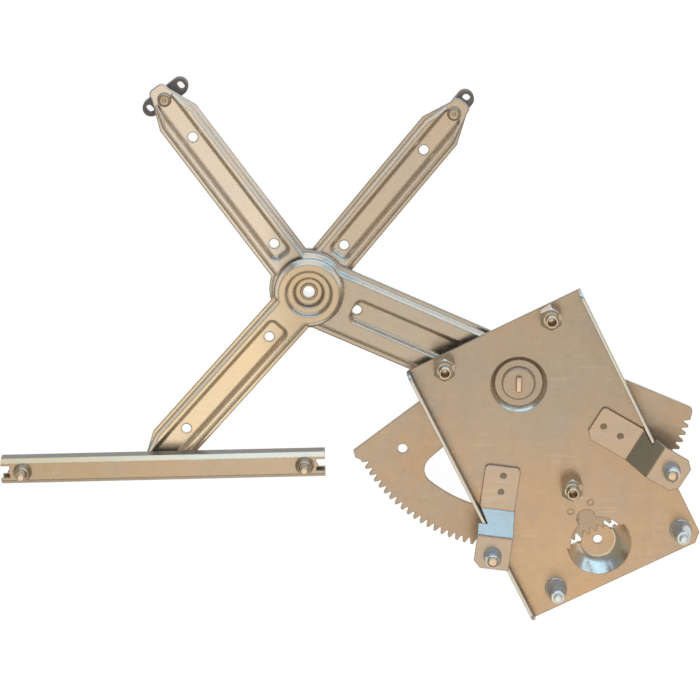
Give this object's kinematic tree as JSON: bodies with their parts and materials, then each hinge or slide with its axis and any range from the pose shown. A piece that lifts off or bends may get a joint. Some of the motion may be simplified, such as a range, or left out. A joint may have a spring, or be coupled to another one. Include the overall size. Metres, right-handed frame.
{
  "type": "window regulator",
  "caption": "Scissor-arm window regulator: toothed sector, cranked lift arm, cross arm in two halves, base plate with drive bearing, and a rail.",
  "frame": {"origin": "centre of the drive bore on the front face of the bearing disc", "axes": "+Z along every joint axis towards the viewer of the picture, +X to the right of the picture along the mechanism's length, +Y up"},
  "size_m": [0.4457, 0.3494, 0.056],
  "materials": {
    "zinc_gold": "satin yellow zinc plating",
    "zinc_bright": "bright zinc plating",
    "slider_plastic": "dull dark plastic"
  },
  "bodies": {
    "base": {"base_plate": "zinc_gold", "left_bracket": "zinc_gold", "right_bracket": "zinc_gold", "hex_standoffs": "zinc_bright", "collar_studs": "zinc_bright", "bracket_pins": "zinc_bright", "main_pivot": "zinc_bright", "pivot_washer": "zinc_bright"},
    "lift": {"sector_gear": "zinc_gold", "sector_rivets": "zinc_bright", "lift_arm": "zinc_gold", "left_slider_pin": "zinc_bright", "slider_spacer": "zinc_bright"},
    "cross": {"lower_cross_arm": "zinc_gold", "upper_cross_arm": "zinc_gold", "hub_eyelet": "zinc_bright", "hub_bush": "slider_plastic", "hub_washer": "zinc_bright", "right_slider_pin": "zinc_bright", "lower_slider_pin": "zinc_bright"},
    "left_shoe": {"left_slider": "slider_plastic"},
    "right_shoe": {"right_slider": "slider_plastic"},
    "rail_block": {"lower_slider": "slider_plastic"},
    "rail": {"rail": "zinc_gold", "rail_studs": "zinc_bright"}
  },
  "joints": [
    {"name": "lift_hinge", "type": "hinge", "parent": "base", "child": "lift", "pos_m": [-0.05319, 0.10669, 0], "axis": [0, 0, 1], "range_deg": [-15, 60]},
    {"name": "cross_hinge", "type": "hinge", "parent": "lift", "child": "cross", "pos_m": [-0.18587, 0.16568, 0], "axis": [0, 0, 1], "range_deg": [-120, 30]},
    {"name": "rail_swivel", "type": "hinge", "parent": "cross", "child": "rail_block", "pos_m": [-0.28342, 0.05464, 0.01], "axis": [0, 0, 1], "range_deg": [-15, 60]},
    {"name": "rail_slide", "type": "slide", "parent": "rail_block", "child": "rail", "axis": [0.9997, 0.0243, 0], "range_m": [-0.07, 0.018]},
    {"name": "left_shoe_swivel", "type": "hinge", "parent": "lift", "child": "left_shoe", "pos_m": [-0.27492, 0.28651, -0.015], "axis": [0, 0, 1], "continuous": true},
    {"name": "right_shoe_swivel", "type": "hinge", "parent": "cross", "child": "right_shoe", "pos_m": [-0.09526, 0.2767, -0.015], "axis": [0, 0, 1], "continuous": true}
  ],
  "couplings": [
    {"joint": "cross_hinge", "follows": "lift_hinge", "ratio": -2},
    {"joint": "rail_swivel", "follows": "lift_hinge", "ratio": 1}
  ]
}
